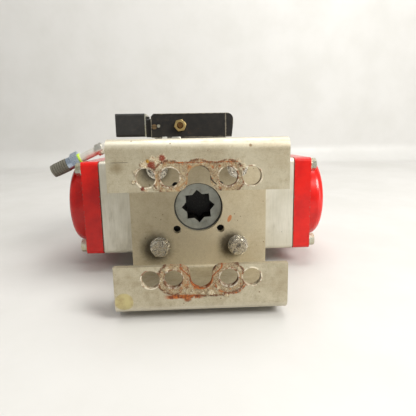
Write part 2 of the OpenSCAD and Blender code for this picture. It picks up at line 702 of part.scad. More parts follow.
module armature_spring() color([0.6, 0.6, 0.62]) translate([0, yc, spool_z])
    coil_spring(2.6, 0.4, 5, coil_x0 + 6.6, coil_x0 + 13.4, 10, 6);

module pilot_head() color([0.15, 0.15, 0.15]) difference() {
    union() {
        along_x(neck_x0, valve_x0 - 0.1) rounded(yc - 14, valve_z0 + 1, yc + 14, valve_z1 - 5.5, 2);
        block([neck_x0, yc - 5, valve_z1 - 6], [neck_x0 + 2.6, yc + 5, valve_z1 - 2.2]);
    }
    rod_x(2, neck_x0 - 1, valve_x0 + 1, yc, spool_z);
}

module armature_tube() color([0.72, 0.72, 0.7]) difference() {
    rod_x(tube_r - run, coil_x0 + 1, neck_x0 - 0.05, yc, spool_z);
    rod_x(armature_r + run, coil_x0 + 6, neck_x0 - 4, yc, spool_z);
    rod_x(1.5, neck_x0 - 5, neck_x0 + 1, yc, spool_z);
}

module solenoid_armature() color([0.5, 0.5, 0.52]) difference() {
    rod_x(armature_r, coil_x0 + 14, neck_x0 - 5, yc, spool_z);
    rod_x(3.3, coil_x0 + 13, coil_x0 + 15, yc, spool_z);
}

module solenoid_coil() color([0.12, 0.12, 0.12]) difference() {
    union() {
        along_x(coil_x0, coil_x1) rounded(yc - coil_w / 2, coil_z0, yc + coil_w / 2, coil_z1, 3);
        // Terminal face towards the connector
        block([coil_x0 + 5, yc + coil_w / 2 - 2, coil_z0 + 3],
            [coil_x1 - 5, yc + coil_w / 2 + 0.15, coil_z1 - 3]);
    }
    rod_x(tube_r, coil_x0 - 1, coil_x1 + 1, yc, spool_z);
    rod_x(9, coil_x0 - 1, coil_x0 + 5.5, yc, spool_z);
}

module coil_nut() color([0.7, 0.7, 0.66])
    translate([coil_x0 + 0.6, yc, spool_z]) rotate([0, 90, 0]) difference() {
    linear_extrude(4.7) hexagon(14.5);
    translate([0, 0, -1]) cylinder(r = tube_r, h = 8);
}

module coil_frame() color([0.78, 0.78, 0.74]) difference() {
    block([neck_x0 - frame_t - 0.1, yc - coil_w / 2, coil_z0],
        [neck_x0 - 0.1, yc + coil_w / 2, coil_z1 - 0.6]);
    rod_x(tube_r, neck_x0 - 5, neck_x0 + 1, yc, spool_z);
}

module cable_connector() color([0.11, 0.11, 0.11]) difference() {
    along_y(connector_y0, connector_y1) rounded(coil_x0 + 4, coil_z0 + 2, coil_x1 - 4, coil_z1 - 2, 3);
    rod_y(plug_screw_r + 0.2, connector_y0 - 1, connector_y1 + 1, connector_x, plug_screw_z);
    rod_y(gland_r, connector_y1 - gland_in - 1, connector_y1 + 1, connector_x, gland_z);
}

module connector_screw() color([0.7, 0.7, 0.7])
    translate([connector_x, connector_y1, plug_screw_z]) difference() {
    union() {
        rod_y(plug_screw_r, 0.5 - connector_len, 0.1);
        rod_y(2.9, 0.06, 2.2);
    }
    block([-4, 1.4, -0.5], [4, 3, 0.5]);
}

module cable_gland() color([0.1, 0.1, 0.1]) translate([connector_x, connector_y1, gland_z]) difference() {
    union() {
        rod_y(gland_r - run, -gland_in, 0.2);
        translate([0, gland_out, 0]) rotate([90, 0, 0]) hex_head(15, gland_out - gap);
    }
    rod_y(cable_r, -gland_in - 1, gland_out + 1);
}

module breather_body() color([0.72, 0.55, 0.25])
    translate([breather_x, valve_front, breather_z]) difference() {
    union() {
        rod_y(4.9 - run, -1, 6);
        translate([0, -0.1, 0]) rotate([90, 0, 0]) rotate([0, 0, 10]) hex_head(13, 6);
    }
    rod_y(4, -7, -2.5);
    rod_y(2, -3, 7);
}

module breather_element() color([0.6, 0.45, 0.25]) translate([breather_x, valve_front, breather_z])
    rotate([90, 0, 0]) translate([0, 0, 2.55]) rotate_extrude()
        polygon([[0, 0], [3.95, 0], [3.95, 3.2], [2.8, 4.1], [0, 4.5]]);

module pilot_screw() color([0.75, 0.72, 0.6]) translate([override_x + 5.2, valve_front, override_z + 0.8]) {
    rod_y(1.2, -0.1, 2.6);
    rod_y(1.9, -1.1, -0.05);
}

// Spring-loaded manual override, pressed with a screwdriver
module override_button() color([0.5, 0.35, 0.2])
    translate([override_x, valve_front, override_z]) difference() {
    rod_y(override_r, -0.4, 5);
    block([-4, -1, -0.5], [4, 0.6, 0.5]);
}

// ---- exhaust line ----

module elbow_fitting() color([0.55, 0.56, 0.55]) difference() {
    front = yc - block_w / 2;
    union() {
        rod_y(6.5 - run, front - 0.2, front + 8, elbow_x, line_z);
        translate([elbow_x, front - 0.1, line_z]) rotate([90, 0, 0]) hex_head(17, 4);
        rod_y(7, line_y, front - 3, elbow_x, line_z);
        translate([elbow_x, line_y, line_z]) sphere(7);
        rod_x(7, elbow_x - 11, elbow_x, line_y, line_z);
        translate([elbow_x - 16, line_y, line_z]) rotate([0, 90, 0]) hex_head(15, 6);
    }
    rod_x(pipe_r + run, elbow_x - 17, elbow_x - 6, line_y, line_z);
    rod_x(3, elbow_x - 7, elbow_x, line_y, line_z);
    rod_y(3, line_y, front + 9, elbow_x, line_z);
    translate([elbow_x, line_y, line_z]) sphere(3);
}

// Places its children on the sloping end of the pipe, with +X pointing back up the slope to the bend
module on_slope(s)
    translate([bend_x, line_y, line_z]) rotate([0, -pipe_drop, 0]) translate([-s, 0, 0]) children();

// One stretch of tube along X
module tube_x(from, to) difference() {
    rod_x(pipe_r, from, to);
    rod_x(pipe_r - pipe_wall, from - 1, to + 1);
}

// The bend is drawn a little thinner than the straight stretches and runs a little way into their walls
module exhaust_pipe() color([0.78, 0.8, 0.8]) {
    translate([0, line_y, line_z]) tube_x(bend_x + bend_leg, elbow_x - 6.2);
    translate([bend_x + bend_leg, line_y, line_z - pipe_bend_r]) rotate([90, 0, 0])
        rotate([0, 0, 90 - bend_lap]) rotate_extrude(angle = pipe_drop + 2 * bend_lap)
            translate([pipe_bend_r, 0]) difference() {
                circle(pipe_r - bend_step);
                circle(pipe_r - pipe_wall + bend_step);
            }
    on_slope(ring_s + 8) tube_x(0, ring_s + 8 - bend_leg);
}

module pipe_coupling() color([0.6, 0.6, 0.56]) on_slope(coupling_s + 7) difference() {
    rod_x(7, 0, 7);
    rod_x(pipe_r + run, -1, 8);
}

module silencer_seal_ring() color([0.62, 0.78, 0.2]) on_slope(ring_s) difference() {
    rod_x(6.2, -1.6, -0.1);
    rod_x(pipe_r + run, -3, 1);
}

module silencer_nut() color([0.62, 0.7, 0.76]) on_slope(ring_s + 1.7) rotate([0, -90, 0]) difference() {
    union() {
        hex_head(17, 9);
        translate([0, 0, 9 - eps]) cylinder(r = 7.4, h = silencer_nut_len - 9);
    }
    translate([0, 0, -1]) cylinder(r = pipe_r + run, h = 11);
    cylinder(r = 3.5, h = silencer_nut_len + 1);
}

module exhaust_silencer() color([0.33, 0.33, 0.31]) on_slope(ring_s + 1.7 + silencer_nut_len + 0.1)
    rotate([0, -90, 0]) difference() {
        union() {
            cylinder(r = 6.6, h = silencer_len - 1.5);
            for (i = [0:5]) translate([0, 0, 0.8 + i * 2.8]) cylinder(r = 7.8, h = 1.7);
            translate([0, 0, silencer_len - 2.4]) cylinder(r = 7.4, h = 2.4);
        }
        translate([0, 0, -1]) cylinder(r = 3.5, h = silencer_len - 2);
    }

cylinder_body();
left_end_cap();
right_end_cap();
left_cap_gasket();
right_cap_gasket();
left_cap_screws();
right_cap_screws();
cap_screw_washers();
mounting_bracket();
bracket_bolts();
bracket_washers();
lower_shaft_bearing();
upper_shaft_bearing();
travel_stop_screws();
stop_lock_nuts();
left_return_spring();
right_return_spring();
interface_block();
interface_seals();
block_screws();
valve_body();
valve_gasket();
valve_end_cap();
valve_screws();
spool_spring();
armature_spring();
pilot_head();
armature_tube();
solenoid_coil();
coil_frame();
coil_nut();
cable_connector();
connector_screw();
cable_gland();
breather_body();
breather_element();
pilot_screw();
elbow_fitting();
exhaust_pipe();
pipe_coupling();
silencer_nut();
silencer_seal_ring();
exhaust_silencer();
pinion_shaft();
stop_cam();
shaft_seals();
thrust_washer();
shaft_circlip();
position_indicator();
indicator_pointer();
indicator_screw();
left_piston();
right_piston();
left_piston_seal();
right_piston_seal();
left_guides();
right_guides();
valve_spool();
solenoid_armature();
override_button();
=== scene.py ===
import json
import math

import bpy
from mathutils import Matrix, Vector


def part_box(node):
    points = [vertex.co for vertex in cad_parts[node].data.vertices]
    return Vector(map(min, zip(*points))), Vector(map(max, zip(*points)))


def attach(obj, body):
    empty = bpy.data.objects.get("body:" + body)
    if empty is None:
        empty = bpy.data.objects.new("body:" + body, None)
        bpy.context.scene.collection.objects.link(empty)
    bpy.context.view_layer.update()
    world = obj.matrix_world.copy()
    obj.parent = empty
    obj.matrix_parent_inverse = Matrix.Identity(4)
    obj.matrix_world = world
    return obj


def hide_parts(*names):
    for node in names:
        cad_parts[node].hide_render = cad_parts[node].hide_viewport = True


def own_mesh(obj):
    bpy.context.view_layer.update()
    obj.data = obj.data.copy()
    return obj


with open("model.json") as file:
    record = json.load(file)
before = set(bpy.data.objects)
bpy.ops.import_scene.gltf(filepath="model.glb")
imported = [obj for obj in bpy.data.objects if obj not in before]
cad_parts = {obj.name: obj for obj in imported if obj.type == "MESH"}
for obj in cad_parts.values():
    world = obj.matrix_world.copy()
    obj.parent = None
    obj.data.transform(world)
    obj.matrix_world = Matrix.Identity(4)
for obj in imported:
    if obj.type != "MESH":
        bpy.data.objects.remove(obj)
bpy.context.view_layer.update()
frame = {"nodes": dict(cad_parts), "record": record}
nodes = frame["nodes"]
scene = bpy.context.scene
MM = 0.001

# Places in the frame, in millimetres
SHAFT_Y = 171.9
LIP_BACK = 7.5
WEB_FRONT = 103.2
HOLE_R = 8.1
HOLE_Z = 44.3
INNER_HOLE_X = 24.4
OUTER_HOLE_X = 44.3
NOTCH_Z = 44.0
NOTCH_R = 9.5


# ---------------------------------------------------------------- camera, floor and light

def basis(yaw, pitch, roll):
    """Right, up and ahead directions of a camera that looks along +Y when all three angles are zero."""
    yaw, pitch, roll = (math.radians(a) for a in (yaw, pitch, roll))
    right = Vector((math.cos(yaw), math.sin(yaw), 0))
    level = Vector((-math.sin(yaw), math.cos(yaw), 0))
    ahead = level * math.cos(pitch) - Vector((0, 0, math.sin(pitch)))
    up = Vector((0, 0, math.cos(pitch))) + level * math.sin(pitch)
    return right * math.cos(roll) + up * math.sin(roll), up * math.cos(roll) - right * math.sin(roll), ahead


def make_camera():
    data = bpy.data.cameras.new("camera")
    data.sensor_width = 36
    data.lens = 32.24
    data.clip_start = 0.01
    data.clip_end = 50
    camera = bpy.data.objects.new("camera", data)
    scene.collection.objects.link(camera)
    right, up, ahead = basis(-2.16, 10.3, -1.1)
    turn = Matrix((right, up, -ahead)).transposed().to_4x4()
    camera.matrix_world = Matrix.Translation((-0.0047, -0.3087, 0.0741)) @ turn
    scene.camera = camera


# The object leans back on the bracket's rear lower bend and on its two stop screws.
LEAN = math.radians(4.55)
FLOOR_POINT = Vector((0, 0.0995, -0.0767))
UP = Vector((0, -math.sin(LEAN), math.cos(LEAN)))
BACK = Vector((0, math.cos(LEAN), math.sin(LEAN)))
SIDE = Vector((1, 0, 0))


def on_floor(x, y, z):
    """A point given across, back and up from the place where the bracket rests."""
    return FLOOR_POINT + SIDE * x + BACK * y + UP * z


def new_object(name, verts, faces, smooth=False):
    mesh = bpy.data.meshes.new(name)
    mesh.from_pydata(verts, [], faces)
    mesh.update()
    if smooth:
        for p in mesh.polygons:
            p.use_smooth = True
    made = bpy.data.objects.new(name, mesh)
    scene.collection.objects.link(made)
    return made


def make_floor():
    """A level floor that turns up into a low wall well behind the object."""
    profile = [(-4.0, 0.0), (-1.0, 0.0), (0.0, 0.0), (0.86, 0.0)]
    steps = 12
    for i in range(1, steps + 1):
        a = math.pi / 2 * i / steps
        profile.append((0.86 + 0.06 * math.sin(a), 0.06 * (1 - math.cos(a))))
    profile.append((0.92, 3.0))
    verts = [on_floor(x, y, z) for y, z in profile for x in (-4.0, 4.0)]
    faces = [(2 * i, 2 * i + 1, 2 * i + 3, 2 * i + 2) for i in range(len(profile) - 1)]
    floor = new_object("floor", verts, faces, smooth=True)
    return floor


def area_light(name, place, target, size, power, colour):
    data = bpy.data.lights.new(name, "AREA")
    data.shape = "DISK"
    data.size = size
    data.energy = power
    data.color = colour
    light = bpy.data.objects.new(name, data)
    scene.collection.objects.link(light)
    aim = (target - place).to_track_quat("-Z", "Y").to_matrix().to_4x4()
    light.matrix_world = Matrix.Translation(place) @ aim


def make_light():
    target = on_floor(0, 0, 0.08)
    area_light("key", on_floor(1.20, -0.97, 1.30), target, 0.9, 40, (1.0, 0.995, 0.965))
    area_light("top", on_floor(0.15, 0.15, 1.6), target, 1.1, 14, (1.0, 1.0, 0.985))
    right_cap = on_floor(0.13, 0.06, 0.08)
    area_light("window", on_floor(1.15, -0.55, 0.22), right_cap, 0.55, 2.4, (1.0, 1.0, 0.99))
    world = bpy.data.worlds.new("studio")
    world.use_nodes = True
    world.node_tree.nodes["Background"].inputs["Color"].default_value = (0.79, 0.795, 0.765, 1)
    world.node_tree.nodes["Background"].inputs["Strength"].default_value = 0.57
    scene.world = world
    scene.view_settings.view_transform = "Standard"
    scene.view_settings.look = "None"


# ---------------------------------------------------------------- building materials from nodes

def srgb(r, g, b):
    """Linear colour from 0 to 255 screen values."""
    def one(v):
        v /= 255
        return v / 12.92 if v <= 0.04045 else ((v + 0.055) / 1.055) ** 2.4
    return (one(r), one(g), one(b), 1.0)


class Finish:
    """One procedural material. Positions and texture scales are in millimetres of the object's frame."""

    def __init__(self, name, colour, rough, metal=0.0, **sockets):
        self.material = bpy.data.materials.new(name)
        self.material.use_nodes = True
        self.tree = self.material.node_tree
        self.tree.nodes.clear()
        self.shader = self.add("ShaderNodeBsdfPrincipled")
        out = self.add("ShaderNodeOutputMaterial")
        self.join(self.shader.outputs["BSDF"], out.inputs["Surface"])
        self.set("Base Color", colour)
        self.set("Roughness", rough)
        self.set("Metallic", metal)
        for key, value in sockets.items():
            self.set(key.replace("_", " "), value)
        where = self.add("ShaderNodeTexCoord").outputs["Object"]
        scaled = self.add("ShaderNodeVectorMath", operation="SCALE")
        self.join(where, scaled.inputs[0])
        scaled.inputs["Scale"].default_value = 1000
        self.p = scaled.outputs["Vector"]
        parts = self.add("ShaderNodeSeparateXYZ")
        self.join(self.p, parts.inputs[0])
        self.x, self.y, self.z = parts.outputs
        self.normal = None

    def add(self, kind, **props):
        made = self.tree.nodes.new(kind)
        for key, value in props.items():
            setattr(made, key, value)
        return made

    def join(self, source, socket):
        """Links a socket, or sets a plain value."""
        if isinstance(source, bpy.types.NodeSocket):
            self.tree.links.new(source, socket)
        else:
            socket.default_value = source

    def set(self, name, value):
        self.join(value, self.shader.inputs[name])

    def math(self, operation, a, b=0.0, c=0.0, clamp=False):
        made = self.add("ShaderNodeMath", operation=operation, use_clamp=clamp)
        for value, socket in zip((a, b, c), made.inputs):
            self.join(value, socket)
        return made.outputs[0]

    def total(self, *values):
        made = values[0]
        for v in values[1:]:
            made = self.plus(made, v)
        return made

    def product(self, *values):
        made = values[0]
        for v in values[1:]:
            made = self.math("MULTIPLY", made, v)
        return made

    def least(self, *values):
        made = values[0]
        for v in values[1:]:
            made = self.math("MINIMUM", made, v)
        return made

    def most(self, *values):
        made = values[0]
        for v in values[1:]:
            made = self.math("MAXIMUM", made, v)
        return made

    def less(self, a, b):
        return self.math("SUBTRACT", a, b)

    def plus(self, a, b):
        return self.math("ADD", a, b)

    def gap(self, value, at):
        """Distance of a value from another, always positive."""
        return self.size(self.less(value, at))

    def root_of_squares(self, a, b):
        return self.math("SQRT", self.plus(self.product(a, a), self.product(b, b)))

    def size(self, value):
        return self.math("ABSOLUTE", value)

    def ramp(self, value, low, high, to_low=0.0, to_high=1.0, smooth=True):
        made = self.add("ShaderNodeMapRange", interpolation_type="SMOOTHSTEP" if smooth else "LINEAR")
        for v, socket in zip((value, low, high, to_low, to_high), made.inputs):
            self.join(v, socket)
        return made.outputs[0]

    def stretched(self, scale):
        made = self.add("ShaderNodeVectorMath", operation="MULTIPLY")
        self.join(self.p, made.inputs[0])
        made.inputs[1].default_value = scale
        return made.outputs[0]

    def noise(self, scale, detail=3.0, rough=0.55, stretch=None, warp=0.0, shift=0.0):
        made = self.add("ShaderNodeTexNoise", noise_dimensions="4D")
        self.join(self.stretched(stretch) if stretch else self.p, made.inputs["Vector"])
        settings = {"Scale": scale, "Detail": detail, "Roughness": rough, "Distortion": warp, "W": shift}
        for key, value in settings.items():
            made.inputs[key].default_value = value
        return made.outputs["Fac"]

    def cells(self, scale, feature="F1", stretch=None, randomness=1.0):
        made = self.add("ShaderNodeTexVoronoi", feature=feature)
        self.join(self.stretched(stretch) if stretch else self.p, made.inputs["Vector"])
        made.inputs["Scale"].default_value = scale
        made.inputs["Randomness"].default_value = randomness
        return made.outputs["Distance"]

    def mix(self, amount, a, b, blend="MIX"):
        made = self.add("ShaderNodeMix", data_type="RGBA", blend_type=blend)
        self.join(amount, made.inputs["Factor"])
        colours = [s for s in made.inputs if s.type == "RGBA"]
        self.join(a, colours[0])
        self.join(b, colours[1])
        return [s for s in made.outputs if s.type == "RGBA"][0]

    def blend(self, amount, a, b):
        """A number between a and b."""
        return self.ramp(amount, 0.0, 1.0, a, b, smooth=False)

    def bump(self, height, distance_mm, strength=1.0):
        """Adds one layer of relief to the shader's normal."""
        made = self.add("ShaderNodeBump")
        made.inputs["Strength"].default_value = strength
        made.inputs["Distance"].default_value = distance_mm * MM
        self.join(height, made.inputs["Height"])
        if self.normal is not None:
            self.join(self.normal, made.inputs["Normal"])
        self.normal = made.outputs[0]
        self.set("Normal", self.normal)

    def away(self, x, y, z):
        """Distance from a point; a coordinate that is None is left out."""
        total = None
        for value, c in ((self.x, x), (self.y, y), (self.z, z)):
            if c is None:
                continue
            d = self.less(value, c)
            square = self.math("MULTIPLY", d, d)
            total = square if total is None else self.plus(total, square)
        return self.math("SQRT", total)

    def spot(self, x, y, z, radius, soft, wobble=None):
        """1 inside a round spot, 0 outside it, with an uneven edge if wobble is a noise of about -1 to 1."""
        d = self.away(x, y, z)
        if wobble is not None:
            d = self.plus(d, wobble)
        return self.ramp(d, radius + soft, radius - soft)

    def band(self, value, low, high, soft):
        """1 while value is between low and high."""
        above = self.ramp(value, low - soft, low + soft)
        return self.product(above, self.ramp(value, high + soft, high - soft))


def edges_of(f, planes, reach):
    """How near a point is to an edge where two of the given flat faces meet: 1 at the edge, 0 beyond reach."""
    gaps = [f.size(f.less(f.size(value) if mirrored else value, at)) for value, at, mirrored in planes]
    best = None
    for i, a in enumerate(gaps):
        for b in gaps[i + 1:]:
            d = f.plus(a, b)
            best = d if best is None else f.math("MINIMUM", best, d)
    return f.ramp(best, reach, 0.0)


# ---------------------------------------------------------------- the finishes

def metal_plain(name, colour, rough, grain=1.2, tint=None, dirt=0.0, dirt_colour=(0.05, 0.035, 0.02, 1)):
    """Bare or plated metal with fine grain, tarnish clouds and some dirt in it."""
    f = Finish(name, colour, rough, 1.0)
    cloud = f.noise(0.09, 4, 0.6)
    fine = f.noise(grain, 5, 0.65)
    dark = tuple(c * 0.55 for c in colour[:3]) + (1,)
    shade = f.mix(f.ramp(cloud, 0.35, 0.72), colour, tint or dark)
    shade = f.mix(f.ramp(fine, 0.45, 0.75, 0.0, 0.35), shade, dark)
    if dirt:
        patch = f.product(f.ramp(f.noise(0.22, 6, 0.7, shift=3.0), 0.62 - dirt, 0.80 - dirt), 0.9)
        shade = f.mix(patch, shade, dirt_colour)
        f.set("Metallic", f.blend(patch, 1.0, 0.25))
        f.set("Roughness", f.blend(patch, f.ramp(fine, 0.3, 0.7, rough - 0.07, rough + 0.12), 0.8))
    else:
        f.set("Roughness", f.ramp(fine, 0.3, 0.7, rough - 0.07, rough + 0.12))
    f.set("Base Color", shade)
    f.bump(fine, 0.05, 0.5)
    return f


def bare_plate(f):
    """Colour of the rolled plate, its two shared patterns and its roughness and metal share."""
    cloud = f.noise(0.035, 5, 0.6)
    mottle = f.noise(0.16, 5, 0.65, shift=1.7)
    streak = f.noise(0.30, 4, 0.6, stretch=(0.05, 1, 1.8))
    grain = f.noise(1.6, 4, 0.6)
    scratch = f.ramp(f.cells(0.10, "DISTANCE_TO_EDGE", stretch=(0.30, 1, 1.4)), 0.02, 0.0)
    speckle = f.ramp(f.noise(0.55, 5, 0.75, shift=30.0), 0.50, 0.68)
    shade = f.mix(f.ramp(cloud, 0.36, 0.68), srgb(196, 187, 163), srgb(176, 164, 138))
    for amount, colour in ((f.ramp(mottle, 0.42, 0.78, 0.0, 0.5), srgb(146, 131, 103)),
                           (f.ramp(streak, 0.40, 0.8, 0.0, 0.25), srgb(200, 193, 172)),
                           (f.ramp(grain, 0.42, 0.72, 0.0, 0.42), srgb(116, 103, 80)),
                           (f.product(speckle, 0.30), srgb(112, 100, 78)),
                           (f.product(scratch, f.ramp(cloud, 0.45, 0.7, 0.0, 0.3)), srgb(120, 110, 92))):
        shade = f.mix(amount, shade, colour)
    film = f.ramp(f.noise(0.07, 6, 0.7, shift=2.2), 0.40, 0.75, 0.25, 0.75)
    f.bump(streak, 0.06, 0.35)
    f.bump(grain, 0.05, 0.35)
    return shade, mottle, streak, f.ramp(mottle, 0.3, 0.75, 0.42, 0.60), f.blend(film, 0.75, 0.45)


def lip_edges(f):
    """Distances from the edges of an inner hole, an outer hole and the notch, one quarter for all four."""
    ax, az = f.size(f.x), f.size(f.z)

    def circle(cx, cz, r):
        return f.less(f.root_of_squares(f.less(ax, cx), f.less(az, cz)), r)

    flare = f.gap(ax, f.ramp(az, NOTCH_Z, 33.0, NOTCH_R, 18.0))
    notch = f.least(f.plus(circle(0.0, NOTCH_Z, NOTCH_R), f.ramp(az, 43.0, 41.0, 0.0, 40.0)),
                    f.plus(flare, f.ramp(az, 43.5, 45.5, 0.0, 40.0)))
    return circle(INNER_HOLE_X, HOLE_Z, HOLE_R), circle(OUTER_HOLE_X, HOLE_Z, HOLE_R), notch


def dress_lips(f, shade, wobble, ragged):
    """Print of a gasket, crust and rust on the lips: the colour, what covers the metal, and the relief."""
    lip = f.ramp(f.y, LIP_BACK, LIP_BACK - 1.0)
    inner, outer, notch = lip_edges(f)
    ax = f.size(f.x)

    # The print: rings round the inner holes, joined beside the notch, over it and below it
    ring = f.less(f.gap(inner, 2.8), 3.0)
    beside = f.less(f.gap(notch, 2.4), 3.0)
    between = f.most(f.less(ax, 25.0), f.less(f.gap(f.z, 45.0), 11.4))
    below = f.most(f.less(ax, 20.0), f.less(f.size(f.plus(f.z, 56.0)), 4.2))
    print_gap = f.plus(f.least(ring, beside, between, below), f.product(wobble, 0.4))
    residue = f.product(lip, f.ramp(f.plus(print_gap, ragged), 1.6, -0.8))
    rim = f.product(lip, f.ramp(f.size(f.plus(print_gap, f.product(ragged, 0.8))), 1.2, 0.4),
                    f.ramp(f.noise(0.30, 3, 0.6, shift=13.0), 0.38, 0.50))

    # Heavier crust where it has built up: x, z, radius
    heaps = [(-38, 57, 4.6), (-31, 60, 3.6), (-45, 54.5, 3.2), (-34, 54, 3.6), (-51.5, 49, 2.2), (-54, 41, 1.8),
             (-45, 35, 2.2), (-36, 36, 2.0), (36, 52, 3.0), (37.5, 47, 2.2), (32.5, 56, 1.8), (34, -36.5, 2.4),
             (8, -57.5, 2.4), (22, -60, 2.6), (33, -56, 2.0), (-30, -36, 2.6), (14, -54, 1.6), (-12, -61.5, 2.8)]
    heap = f.least(*[f.less(f.away(x, None, z), r) for x, z, r in heaps])
    heap = f.plus(f.plus(heap, f.product(wobble, 0.7)), f.product(ragged, 0.9))
    crust = f.product(lip, f.ramp(heap, 1.2, -0.9))

    # Thin curling threads of dried sealant inside the print
    threads = f.ramp(f.gap(f.noise(0.26, 2, 0.5, warp=1.2, shift=20.0), 0.5), 0.016, 0.005)
    threads = f.product(threads, f.most(residue, f.product(crust, 0.7)))

    grit = f.noise(1.0, 4, 0.75, shift=7.0)
    pale = f.mix(f.ramp(grit, 0.42, 0.60), srgb(212, 200, 172), srgb(148, 120, 80))
    rust = f.mix(f.ramp(f.noise(0.42, 4, 0.7, shift=8.0), 0.40, 0.62), srgb(168, 92, 34), srgb(96, 42, 20))
    stain = f.mix(f.ramp(f.noise(0.55, 5, 0.75, shift=21.0), 0.38, 0.60), srgb(170, 152, 118), srgb(108, 80, 46))
    stain = f.mix(f.ramp(f.noise(0.16, 4, 0.6, shift=23.0), 0.50, 0.64, 0.0, 0.7), stain, srgb(150, 104, 48))
    rusty = f.ramp(f.noise(0.20, 5, 0.7, shift=4.0), 0.56, 0.63)
    edge_brown = f.mix(f.ramp(grit, 0.42, 0.54), srgb(134, 76, 34), srgb(70, 46, 28))
    shade = f.mix(f.product(residue, 0.85), shade, stain)
    shade = f.mix(crust, shade, pale)
    shade = f.mix(f.product(threads, 0.8), shade, srgb(214, 202, 176))
    shade = f.mix(f.product(f.most(crust, f.product(residue, 0.85)), rusty), shade, rust)
    shade = f.mix(f.product(rim, 0.9), shade, edge_brown)

    # Dark red rust in the heap beside the upper left outer hole, and ochre beside it
    dark_rust = f.product(lip, f.most(f.spot(-39, None, 54.8, 3.2, 1.2, f.product(wobble, 0.6)),
                                      f.spot(-30, None, 60.5, 2.6, 1.0, f.product(ragged, 1.2)),
                                      f.spot(-47, None, 35.5, 1.8, 0.8, f.product(ragged, 1.0))))
    ochre = f.product(lip, f.spot(-42, None, 58.0, 1.5, 0.8, f.product(ragged, 0.9)))
    shade = f.mix(f.product(dark_rust, f.ramp(grit, 0.28, 0.46)), shade, srgb(122, 50, 26))
    shade = f.mix(ochre, shade, srgb(176, 130, 40))

    # Rims of the holes: a chalky ring that is rusty in places
    near_hole = f.least(f.gap(inner, 0.5), f.gap(outer, 0.5))
    hole_ring = f.product(lip, f.ramp(f.plus(near_hole, f.product(ragged, 0.3)), 0.9, 0.25),
                          f.ramp(f.noise(0.22, 3, 0.6, shift=17.0), 0.40, 0.52))
    chalk = f.mix(f.ramp(f.noise(0.3, 3, 0.6, shift=22.0), 0.46, 0.56), srgb(216, 206, 184), srgb(120, 72, 40))
    shade = f.mix(f.product(hole_ring, 0.8), shade, chalk)

    # Rust lines: notch edges, the line over the upper notch, the lower lip's streak and arc
    upper = f.ramp(f.z, -1, 1)
    edge_line = f.product(lip, f.ramp(f.plus(f.size(notch), f.product(ragged, 0.3)), 1.3, 0.3),
                          f.ramp(f.noise(0.12, 3, 0.5, shift=6.0), 0.34, 0.46))
    edge_shade = f.mix(f.ramp(f.x, -2, 4), srgb(150, 120, 82), srgb(52, 40, 28))
    shade = f.mix(f.product(edge_line, upper), shade, edge_shade)
    top_line = f.product(lip, upper, f.band(f.plus(f.z, f.product(ragged, 0.4)), 56.0, 56.9, 0.4),
                         f.band(f.x, -24, 34, 4), f.ramp(f.noise(0.35, 3, 0.6, shift=15.0), 0.40, 0.52))
    streak_low = f.product(lip, f.band(f.plus(f.z, f.product(wobble, 0.35)), -62.4, -58.8, 0.7),
                           f.band(f.x, -31, 0, 3), f.ramp(f.noise(0.25, 3, 0.6, shift=14.0), 0.30, 0.42))
    blob = f.product(lip, f.spot(-12.5, None, -62, 3.4, 1.0, f.product(ragged, 1.2)))
    arc = f.product(lip, f.ramp(f.gap(f.away(25.5, None, -45.0), 14.3), 1.3, 0.3),
                    f.ramp(f.z, -47, -52), f.ramp(f.noise(0.3, 3, 0.6, shift=16.0), 0.42, 0.56))
    lines = f.most(f.product(edge_line, f.less(1.0, upper)), top_line, streak_low, arc, f.product(blob, 0.9))
    shade = f.mix(lines, shade, rust)

    cover = f.most(f.product(residue, 0.85), crust, lines, rim, hole_ring, threads, edge_line, dark_rust)
    relief = f.total(crust, f.product(crust, f.noise(0.8, 5, 0.75, shift=11.0)), f.product(residue, grit, 0.5),
                     f.product(threads, 0.6), f.product(rim, 0.4), f.product(hole_ring, 0.4))
    return shade, cover, relief


